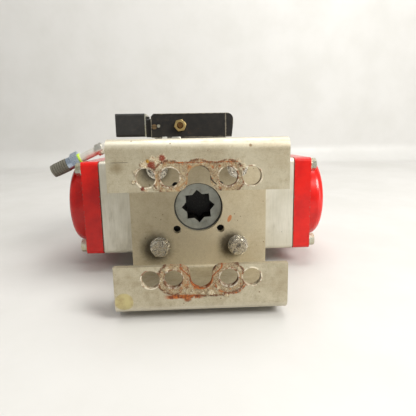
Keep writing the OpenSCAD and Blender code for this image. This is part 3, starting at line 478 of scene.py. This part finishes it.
def stains_and_painted_light(f, shade, wobble, ragged, mottle, streak):
    """Dirt with painted bolt shadows round the flange bolts, a painted highlight on the bends, painted light on
    the web and single stains: the colour, and what covers the metal.
    """
    web = f.ramp(f.y, WEB_FRONT - 0.7, WEB_FRONT)
    # Dark patches set to the left of three flange bolts: dirt on the web together with the painted shadow that
    # each bolt head casts.
    darkening = f.most(*[f.product(web, f.ramp(f.plus(f.away(x, None, z), wobble), reach, 9))
                    for x, z, reach in ((-49.0, -46.0, 24), (37.0, -43.5, 20), (-47.0, 44.0, 22))])
    # Painted highlight: the front bends at the top and bottom of the bracket are made lighter.
    bend = f.product(f.band(f.y, 0.6, 9.0, 2.0), f.band(f.size(f.z), 68.5, 77.0, 2.0))
    shade = f.mix(f.product(darkening, 0.85), shade, srgb(58, 49, 34))
    # Painted light: the rest of the web face is lightened, standing in for the light that falls on the recessed
    # web.
    shade = f.mix(f.product(web, f.less(1.0, darkening), 0.35), shade, srgb(218, 202, 168))
    shade = f.mix(f.product(bend, f.ramp(streak, 0.3, 0.6, 0.2, 0.6)), shade, srgb(226, 220, 204))

    lip = f.ramp(f.y, LIP_BACK, LIP_BACK - 1.0)
    round_stain = f.product(f.spot(-68, None, -64, 8.0, 0.8, f.product(ragged, 0.4)), f.ramp(f.y, 12, 10))
    stain_shade = f.mix(f.ramp(mottle, 0.4, 0.7), srgb(178, 164, 104), srgb(150, 128, 74))
    olive = f.product(lip, f.spot(-67.5, None, 53, 4.5, 3.5, wobble), 0.6)
    dash = f.product(lip, f.band(f.z, 57.15, 57.6, 0.15), f.band(f.x, -72, -58, 1.5))
    dot = f.product(f.ramp(f.y, 14.0, 12.0), f.spot(43, None, 69.5, 1.2, 0.5, f.product(ragged, 0.4)))
    specks = f.product(f.ramp(f.cells(0.13), 0.13, 0.07), f.ramp(f.noise(0.05, 2, 0.5, shift=18.0), 0.5, 0.62))

    # A slanting oval drip on the web
    dx, dz = f.less(f.x, 35.0), f.plus(f.z, 13.5)
    drip = f.root_of_squares(f.plus(f.product(dx, 1.55), f.product(dz, -0.65)),
                             f.plus(f.product(dx, 0.33), f.product(dz, 0.72)))
    drip = f.product(f.ramp(f.y, 102.0, 103.0), f.ramp(f.plus(drip, f.product(ragged, 0.4)), 3.9, 3.0))

    shade = f.mix(f.product(round_stain, 0.75), shade, stain_shade)
    shade = f.mix(olive, shade, srgb(126, 108, 74))
    shade = f.mix(f.product(dash, 0.8), shade, srgb(70, 64, 52))
    shade = f.mix(f.product(drip, 0.9), shade, srgb(168, 98, 46))
    shade = f.mix(f.product(dot, 0.8), shade, srgb(118, 88, 50))
    shade = f.mix(f.product(specks, 0.7), shade, srgb(104, 74, 44))
    return shade, f.most(drip, dot, f.product(round_stain, 0.7))


def bracket_steel():
    """Rolled stainless plate, streaked and stained, with rust and gasket residue round the lip holes."""
    f = Finish("bracket_steel", srgb(196, 190, 173), 0.42, 1.0)
    wobble = f.math("MULTIPLY_ADD", f.noise(0.30, 4, 0.65, shift=5.0), 7.0, -3.5)
    ragged = f.math("MULTIPLY_ADD", f.noise(1.1, 4, 0.7, shift=9.0), 2.6, -1.3)
    shade, mottle, streak, rough, metal = bare_plate(f)
    shade, crusted, relief = dress_lips(f, shade, wobble, ragged)
    shade, stained = stains_and_painted_light(f, shade, wobble, ragged, mottle, streak)
    cover = f.most(crusted, stained)
    f.set("Base Color", shade)
    f.set("Metallic", f.product(metal, f.ramp(cover, 0.0, 1.0, 1.0, 0.0, smooth=False)))
    f.set("Roughness", f.blend(cover, rough, 0.86))
    f.bump(relief, 0.9, 0.9)
    return f.material


def red_paint():
    """Glossy powder coat with orange peel, small chips along the edges, a few scuffs and a trace of dust."""
    f = Finish("red_paint", srgb(196, 14, 8), 0.24, 0.0,
               Coat_Weight=0.2, Coat_Roughness=0.08, Specular_IOR_Level=0.32)
    cloud = f.noise(0.05, 4, 0.6)
    chips = f.noise(0.55, 5, 0.7, shift=2.0)
    rims = edges_of(f, [(f.x, 110.2, True), (f.x, 129.2, True), (f.z, 53.0, True),
                        (f.y, 109.4, False), (f.y, 234.4, False)], 3.2)
    chip = f.ramp(f.plus(f.product(rims, 0.30), chips), 0.83, 0.87)
    scuff = f.product(f.ramp(f.cells(0.05, "DISTANCE_TO_EDGE", stretch=(1.0, 0.35, 1.2)), 0.006, 0.0),
                      f.ramp(f.noise(0.04, 2, 0.5, shift=6.0), 0.58, 0.70))
    dust = f.ramp(f.noise(0.12, 6, 0.75, shift=4.0), 0.50, 0.90, 0.0, 0.16)
    shade = f.mix(f.ramp(cloud, 0.35, 0.7), srgb(208, 20, 8), srgb(182, 10, 6))
    shade = f.mix(dust, shade, srgb(190, 74, 58))
    shade = f.mix(f.product(scuff, 0.4), shade, srgb(216, 92, 74))
    shade = f.mix(chip, shade, srgb(120, 84, 72))
    f.set("Base Color", shade)
    f.set("Roughness", f.blend(f.most(f.product(dust, 1.2), chip, scuff), 0.24, 0.55))
    f.bump(f.noise(0.85, 2, 0.5, shift=8.0), 0.10, 0.22)
    f.bump(f.less(1.0, f.most(chip, f.product(scuff, 0.3))), 0.14, 0.5)
    return f.material


def anodised_body():
    """Clear anodised extrusion: a fine lengthwise and crosswise tooth, faint smears and scuffs."""
    f = Finish("anodised_body", srgb(198, 197, 188), 0.45, 0.9)
    across = f.noise(1.1, 4, 0.6, stretch=(1.0, 1.0, 0.035))
    along = f.noise(1.3, 4, 0.6, stretch=(0.03, 1.0, 1.0), shift=1.0)
    cloud = f.noise(0.03, 5, 0.6, shift=2.0)
    smear = f.noise(0.10, 5, 0.7, stretch=(1.0, 1.0, 0.35), shift=3.0)
    specks = f.product(f.ramp(f.cells(0.16), 0.10, 0.05), f.ramp(f.noise(0.04, 2, 0.5, shift=5.0), 0.52, 0.62))
    shade = f.mix(f.ramp(cloud, 0.35, 0.7), srgb(222, 217, 203), srgb(206, 200, 182))
    shade = f.mix(f.ramp(across, 0.38, 0.72, 0.0, 0.30), shade, srgb(186, 181, 165))
    shade = f.mix(f.ramp(smear, 0.5, 0.8, 0.0, 0.45), shade, srgb(158, 150, 128))
    shade = f.mix(f.product(specks, 0.6), shade, srgb(96, 84, 66))
    # Painted shade: the tapped holes in the body face are darkened almost to black, standing in for the shade
    # deep inside them.
    ax, az = f.size(f.x), f.size(f.z)
    dx, dz = f.less(ax, 24.75), f.less(az, 24.75)
    tapped_hole_shade = f.product(f.ramp(f.math("SQRT", f.plus(f.product(dx, dx), f.product(dz, dz))), 5.6, 5.0),
                       f.ramp(f.y, 109.6, 110.2))
    shade = f.mix(f.product(tapped_hole_shade, 0.93), shade, srgb(22, 17, 12))
    f.set("Base Color", shade)
    f.set("Metallic", f.blend(tapped_hole_shade, 0.85, 0.1))
    f.set("Roughness", f.ramp(f.plus(across, smear), 0.7, 1.3, 0.38, 0.58))
    f.bump(across, 0.04, 0.5)
    f.bump(along, 0.03, 0.4)
    return f.material


def valve_black():
    """Black anodised or painted blocks with rubbed corners, dust and a few rust spots."""
    f = Finish("valve_black", srgb(44, 41, 38), 0.42, 0.25)
    cloud = f.noise(0.10, 5, 0.65)
    fine = f.noise(1.4, 4, 0.6, shift=1.0)
    rims = edges_of(f, [(f.z, 106.6, False), (f.z, 78.2, False), (f.y, 151.9, False), (f.y, 191.9, False),
                        (f.x, -54.0, False), (f.x, 36.0, False), (f.x, 45.25, False)], 1.6)
    worn = f.ramp(f.plus(f.product(rims, 0.5), f.noise(0.35, 5, 0.7, shift=2.0)), 0.80, 0.90)
    dust = f.ramp(f.noise(0.20, 6, 0.75, shift=3.0), 0.46, 0.82, 0.0, 0.55)
    rusty = f.product(f.ramp(f.noise(0.40, 4, 0.7, shift=6.0), 0.66, 0.70),
                      f.ramp(f.noise(0.05, 2, 0.5, shift=7.0), 0.45, 0.6))
    shade = f.mix(f.ramp(cloud, 0.35, 0.7), srgb(24, 22, 22), srgb(38, 34, 31))
    dust = f.product(dust, f.ramp(f.x, 10, -30, 0.25, 1.0))
    shade = f.mix(dust, shade, srgb(70, 60, 47))
    shade = f.mix(worn, shade, srgb(140, 132, 116))
    shade = f.mix(rusty, shade, srgb(110, 66, 36))
    f.set("Base Color", shade)
    f.set("Roughness", f.blend(f.most(dust, rusty), f.ramp(fine, 0.3, 0.7, 0.34, 0.5), 0.85))
    f.bump(fine, 0.04, 0.5)
    f.bump(f.less(1.0, worn), 0.05, 0.5)
    return f.material


def plastic(name, colour, rough, pebble=1.6, dusty=0.35, dust_colour=(0.16, 0.14, 0.11, 1), shine=0.0):
    """Moulded plastic or resin with a fine pebbled skin and dust."""
    f = Finish(name, colour, rough, 0.0, Coat_Weight=shine)
    skin = f.cells(pebble)
    cloud = f.noise(0.12, 5, 0.6)
    dust = f.ramp(f.noise(0.28, 6, 0.75, shift=3.0), 0.48, 0.82, 0.0, dusty)
    lighter = tuple(min(1.0, c * 1.5 + 0.004) for c in colour[:3]) + (1,)
    shade = f.mix(f.ramp(cloud, 0.35, 0.72), colour, lighter)
    f.set("Base Color", f.mix(dust, shade, dust_colour))
    f.set("Roughness", f.blend(dust, f.ramp(cloud, 0.3, 0.7, rough - 0.06, rough + 0.08), 0.9))
    f.bump(skin, 0.05, 0.5)
    f.bump(f.noise(0.25, 3, 0.5, shift=5.0), 0.08, 0.2)
    return f.material


def rubber(name, colour):
    f = Finish(name, colour, 0.62, 0.0, Specular_IOR_Level=0.35)
    cloud = f.noise(0.3, 5, 0.6)
    bloom = f.ramp(f.noise(0.15, 6, 0.7, shift=2.0), 0.45, 0.8, 0.0, 0.4)
    lighter = tuple(min(1.0, c * 1.35 + 0.006) for c in colour[:3]) + (1,)
    bloomed = tuple(min(1.0, c * 1.5 + 0.03) for c in colour[:3]) + (1,)
    shade = f.mix(f.ramp(cloud, 0.3, 0.7), colour, lighter)
    shade = f.mix(bloom, shade, bloomed)

    # Dust on the edge of a cap gasket where it shows between cap and body
    outside = f.ramp(f.most(f.size(f.z), f.gap(f.y, SHAFT_Y)), 51.0, 52.4)
    seam = f.product(f.band(f.size(f.x), 108.7, 110.6, 0.3), outside)
    f.set("Base Color", f.mix(f.product(seam, 0.85), shade, srgb(128, 104, 88)))
    f.set("Roughness", f.ramp(cloud, 0.3, 0.7, 0.55, 0.75))
    f.bump(f.noise(1.8, 4, 0.6, shift=4.0), 0.04, 0.5)
    return f.material


def turned(name, colour, rough, axis, pitch, metal):
    """Turned or drawn metal with fine marks square to the given axis."""
    f = metal_plain(name, colour, rough, tint=tuple(0.8 * c for c in colour[:3]) + (1,))
    f.set("Metallic", metal)
    along = {"x": f.x, "y": f.y, "z": f.z}[axis]
    marks = f.math("SINE", f.math("MULTIPLY", along, 2 * math.pi / pitch))
    f.bump(marks, 0.012, 0.35)
    return f.material


def bolt_steel():
    """Plain stainless bolts: bright rubbed flats with dark dirt in the dents and corners."""
    f = metal_plain("bolt_steel", srgb(232, 226, 212), 0.18, grain=0.9, tint=srgb(212, 204, 186))
    dents = f.noise(0.42, 5, 0.72, warp=0.8, shift=6.0)
    shade = f.shader.inputs["Base Color"].links[0].from_socket
    darkening = f.ramp(dents, 0.49, 0.60, 0.0, 0.9)
    f.set("Base Color", f.mix(darkening, shade, srgb(58, 48, 36)))
    f.set("Metallic", f.blend(darkening, 1.0, 0.3))
    f.bump(dents, 0.6, 0.9)
    return f.material


def zinc_steel():
    f = metal_plain("zinc_steel", srgb(205, 203, 190), 0.26, grain=1.1, tint=srgb(176, 166, 128), dirt=0.05,
                    dirt_colour=srgb(126, 104, 68))
    return f.material


def shaft_steel():
    """Machined drive shaft: a pale ring-marked end face and a star bore darkened with painted shade."""
    f = metal_plain("shaft_steel", srgb(176, 178, 170), 0.40, grain=1.4, tint=srgb(146, 148, 140), dirt=0.02,
                    dirt_colour=srgb(86, 70, 52))
    radius = f.away(0, None, 0)
    rings = f.math("SINE", f.math("MULTIPLY", radius, 2 * math.pi / 0.55))
    bore = f.product(f.ramp(f.y, 112.5, 114.0), f.ramp(radius, 20.5, 19.6), f.ramp(f.y, 150.0, 148.0))
    # Painted shade: the inside of the star bore is darkened almost to black, standing in for the shade deep in
    # the bore.
    bore_shade = f.product(bore, f.ramp(f.noise(0.5, 4, 0.7, shift=12.0), 0.30, 0.5, 0.90, 1.0))
    shade = f.shader.inputs["Base Color"].links[0].from_socket
    smear = f.ramp(f.noise(0.25, 5, 0.7, shift=14.0), 0.5, 0.72)
    shade = f.mix(f.product(smear, 0.5), shade, srgb(118, 108, 86))
    f.set("Base Color", f.mix(bore_shade, shade, srgb(16, 12, 8)))
    f.set("Metallic", f.blend(bore_shade, 0.8, 0.05))
    f.bump(rings, 0.02, 0.5)
    return f.material


def silencer_grey():
    f = Finish("silencer_grey", srgb(92, 90, 82), 0.6)
    cloud = f.noise(0.25, 5, 0.65)
    grit = f.cells(2.2)
    shade = f.mix(f.ramp(cloud, 0.35, 0.7), srgb(112, 108, 96), srgb(92, 88, 76))
    shade = f.mix(f.ramp(grit, 0.25, 0.6, 0.0, 0.3), shade, srgb(116, 112, 100))
    f.set("Base Color", shade)
    f.set("Roughness", f.ramp(cloud, 0.3, 0.7, 0.5, 0.75))
    f.bump(grit, 0.12, 0.5)
    return f.material


def brass():
    """Dull brass; dirt has filled the face of the hand override's button."""
    f = metal_plain("brass", srgb(206, 182, 128), 0.34, grain=1.0, tint=srgb(166, 138, 86), dirt=0.07,
                    dirt_colour=srgb(70, 52, 30))
    button = f.ramp(f.x, -30.0, -34.0)
    shade = f.shader.inputs["Base Color"].links[0].from_socket
    f.set("Base Color", f.mix(f.product(button, 0.85), shade, srgb(82, 58, 38)))
    f.set("Metallic", f.blend(button, 1.0, 0.3))
    return f.material


def bronze_grains():
    f = Finish("sintered_bronze", srgb(150, 112, 62), 0.5, 0.9)
    grains = f.cells(2.6)
    shade = f.mix(f.ramp(grains, 0.15, 0.5), srgb(168, 128, 72), srgb(66, 44, 24))
    f.set("Base Color", f.mix(f.ramp(f.noise(0.5, 4, 0.6), 0.4, 0.7), shade, srgb(96, 66, 36)))
    f.set("Roughness", f.ramp(grains, 0.1, 0.6, 0.38, 0.8))
    f.bump(grains, -0.35, 0.9)
    return f.material


def floor_finish():
    """White laminate: a soft gloss with faint scratches and smudges."""
    f = Finish("floor_white", srgb(216, 214, 209), 0.45, 0.0, Specular_IOR_Level=0.4)
    smudge = f.noise(0.006, 5, 0.6)
    scratch = f.product(f.ramp(f.cells(0.008, "DISTANCE_TO_EDGE"), 0.002, 0.0),
                        f.ramp(f.noise(0.01, 3, 0.5), 0.5, 0.65))
    shade = f.mix(f.ramp(smudge, 0.35, 0.7), srgb(207, 205, 202), srgb(201, 199, 195))
    f.set("Base Color", f.mix(f.product(scratch, 0.25), shade, srgb(205, 202, 196)))
    f.set("Roughness", f.ramp(smudge, 0.3, 0.7, 0.40, 0.55))
    return f.material


def dress():
    """Makes one material for each slot of the record and puts it on the nodes that use that slot."""
    def metal(name, colour, rough, grain, tint):
        return metal_plain(name, srgb(*colour), rough, grain=grain, tint=srgb(*tint)).material

    made = {
        "anodised_body": anodised_body(),
        "red_paint": red_paint(),
        "bracket_steel": bracket_steel(),
        "bolt_steel": bolt_steel(),
        "zinc_steel": zinc_steel(),
        "blue_zinc": metal("blue_zinc", (196, 208, 222), 0.26, 1.1, (168, 182, 202)),
        "shaft_steel": shaft_steel(),
        "cam_steel": metal("cam_steel", (120, 120, 118), 0.45, 2.0, (96, 94, 90)),
        "spring_steel": metal("spring_steel", (106, 110, 116), 0.35, 1.6, (80, 82, 86)),
        "piston_alloy": metal("piston_alloy", (198, 198, 194), 0.35, 0.9, (176, 174, 168)),
        "bearing_polymer": plastic("bearing_polymer", srgb(62, 62, 60), 0.55, dusty=0.05),
        "guide_polymer": plastic("guide_polymer", srgb(224, 219, 204), 0.45,
                                 dusty=0.05, dust_colour=srgb(190, 180, 156)),
        "black_rubber": rubber("black_rubber", srgb(30, 30, 30)),
        "valve_black": valve_black(),
        "coil_resin": plastic("coil_resin", srgb(24, 22, 20), 0.55, dusty=0.5, dust_colour=srgb(74, 66, 54)),
        "plug_plastic": plastic("plug_plastic", srgb(34, 34, 35), 0.4,
                                dusty=0.2, dust_colour=srgb(92, 88, 78), shine=0.15),
        "brass": brass(),
        "sintered_bronze": bronze_grains(),
        "fitting_metal": metal("fitting_metal", (222, 220, 212), 0.36, 1.0, (192, 188, 176)),
        "pipe_metal": turned("pipe_metal", srgb(226, 222, 212), 0.38, "x", 0.7, metal=0.45),
        "seal_green": rubber("seal_green", srgb(176, 200, 70)),
        "silencer_grey": silencer_grey(),
        "pointer_yellow": plastic("pointer_yellow", srgb(232, 190, 40), 0.35,
                                  dusty=0.12, dust_colour=srgb(190, 160, 90), shine=0.3),
    }
    for part in frame["record"]["subparts"]:
        mesh = nodes[part["node"]].data
        mesh.materials.clear()
        mesh.materials.append(made[part["material_slot"]])
    return made


# ---------------------------------------------------------------- pieces made here

def spring(name, material, body, centre, radius, wire, turns, x0, x1, replaced):
    """A coil spring along X with closed, ground end turns."""
    steps, sides = 36, 14
    count = int(turns * steps)
    ends = 1.0 / turns

    def along(u):
        tight = 2.0 * wire / (x1 - x0 - 2 * wire)
        if u < ends:
            return tight * u / ends
        if u > 1 - ends:
            return 1 - tight * (1 - u) / ends
        return tight + (u - ends) * (1 - 2 * tight) / (1 - 2 * ends)

    verts, faces = [], []
    for i in range(count + 1):
        u = i / count
        a = 2 * math.pi * turns * u
        x = x0 + wire + (x1 - x0 - 2 * wire) * along(u)
        middle = Vector((x, radius * math.cos(a), radius * math.sin(a)))
        out = Vector((0, math.cos(a), math.sin(a)))
        for k in range(sides):
            b = 2 * math.pi * k / sides
            p = middle + out * wire * math.cos(b) + Vector((wire * math.sin(b), 0, 0))
            p.x = min(max(p.x, x0 + wire * 0.25), x1 - wire * 0.25)
            verts.append((p + centre) * MM)
    for i in range(count):
        for k in range(sides):
            k2 = (k + 1) % sides
            faces.append((i * sides + k, (i + 1) * sides + k, (i + 1) * sides + k2, i * sides + k2))
    faces.append(tuple(range(sides)))
    faces.append(tuple(count * sides + k for k in reversed(range(sides))))
    made = new_object(name, verts, faces, smooth=True)
    made.data.materials.append(material)
    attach(made, body)
    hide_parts(replaced)
    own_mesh(made)
    return made


def make_springs(finishes):
    steel = finishes["spring_steel"]
    for sign, side in ((1, "right"), (-1, "left")):
        low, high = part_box(side + "_return_spring")
        ends = (low.x / MM, high.x / MM)
        spring(side + "_spring_coil", steel, "housing", Vector((0, SHAFT_Y, 0)), 30.0, 2.5, 7,
               ends[0], ends[1],
               side + "_return_spring")
    for name, joint, travel, at_high, turns in (("spool_spring", "spool_slide", 3.0, True, 6),
                                                ("armature_spring", "armature_slide", 1.5, False, 5)):
        low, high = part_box(name)
        x0, x1 = low.x / MM, high.x / MM
        wire, radius = (0.45, 3.0) if at_high else (0.4, 2.6)
        centre = Vector((0, (low.y + high.y) / 2 / MM, (low.z + high.z) / 2 / MM))
        spring(name + "_coil", steel, "housing", centre, radius, wire, turns,
               x0, x1, name)


make_camera()
floor = make_floor()
floor.data.materials.append(floor_finish())
make_light()
finishes = dress()
make_springs(finishes)
